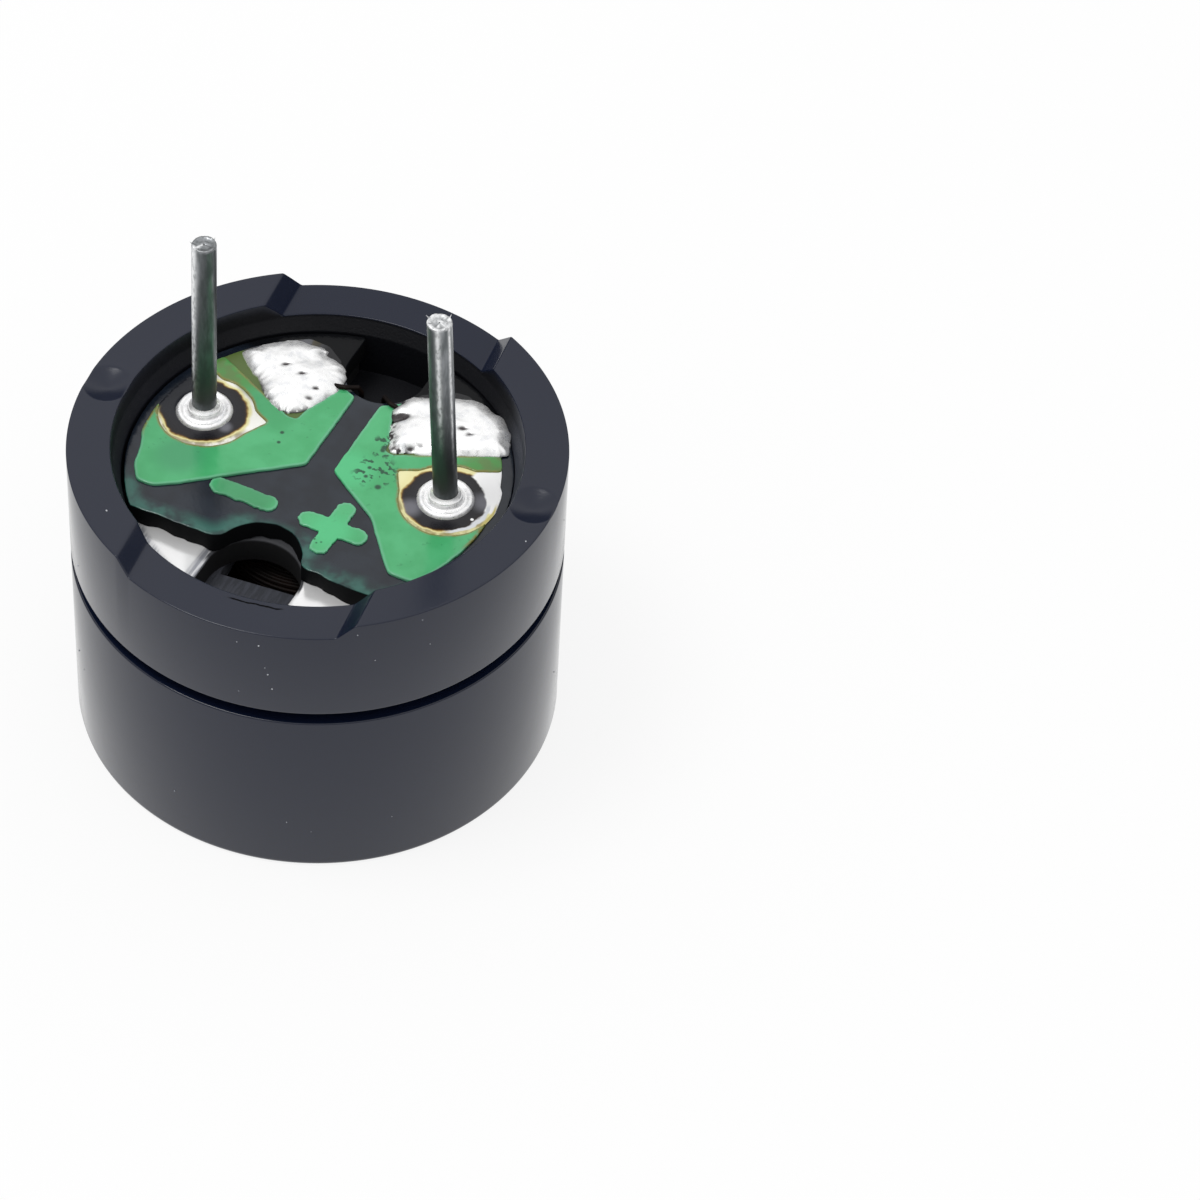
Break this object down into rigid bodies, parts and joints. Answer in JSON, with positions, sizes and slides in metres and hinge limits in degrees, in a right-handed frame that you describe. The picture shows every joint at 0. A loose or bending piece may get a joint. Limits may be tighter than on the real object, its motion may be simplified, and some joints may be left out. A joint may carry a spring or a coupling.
{
  "type": "passive buzzer",
  "caption": "Round black electromagnetic sounder with a sound hole in its cap and a recessed circuit board that carries a positive and a negative pin.",
  "frame": {"origin": "centre of the sound-hole face, where the part rests", "axes": "+Z along the pins, away from the sound hole; +X towards the positive pin; -Y towards the straight front edge of the circuit board"},
  "size_m": [0.012, 0.012, 0.0135],
  "materials": {
    "case": "moulded black ABS, glossy sides and finely textured face",
    "laminate": "dark solder mask over laminate, satin",
    "foil": "tinned copper foil, dull bright",
    "mask": "green solder mask, satin",
    "pin_tin": "tinned wire, drawn and bright",
    "solder": "bright solder",
    "nickel": "nickel-plated steel, polished",
    "iron": "bare soft iron, turned",
    "winding": "enamelled copper wire",
    "ferrite": "sintered ferrite, ground",
    "spring_steel": "thin rolled steel"
  },
  "bodies": {
    "root": {"cap": "case", "base_frame": "case", "circuit_board": "laminate", "negative_land": "foil", "positive_land": "foil", "negative_mask": "mask", "positive_mask": "mask", "minus_mark": "mask", "plus_mark": "mask", "negative_pin": "pin_tin", "positive_pin": "pin_tin", "negative_collar": "solder", "positive_collar": "solder", "negative_coil_joint": "solder", "positive_coil_joint": "solder", "yoke_plate": "nickel", "pole_core": "iron", "coil": "winding", "negative_lead": "winding", "positive_lead": "winding", "ring_magnet": "ferrite", "diaphragm": "spring_steel", "mass_disc": "iron"}
  },
  "joints": []
}
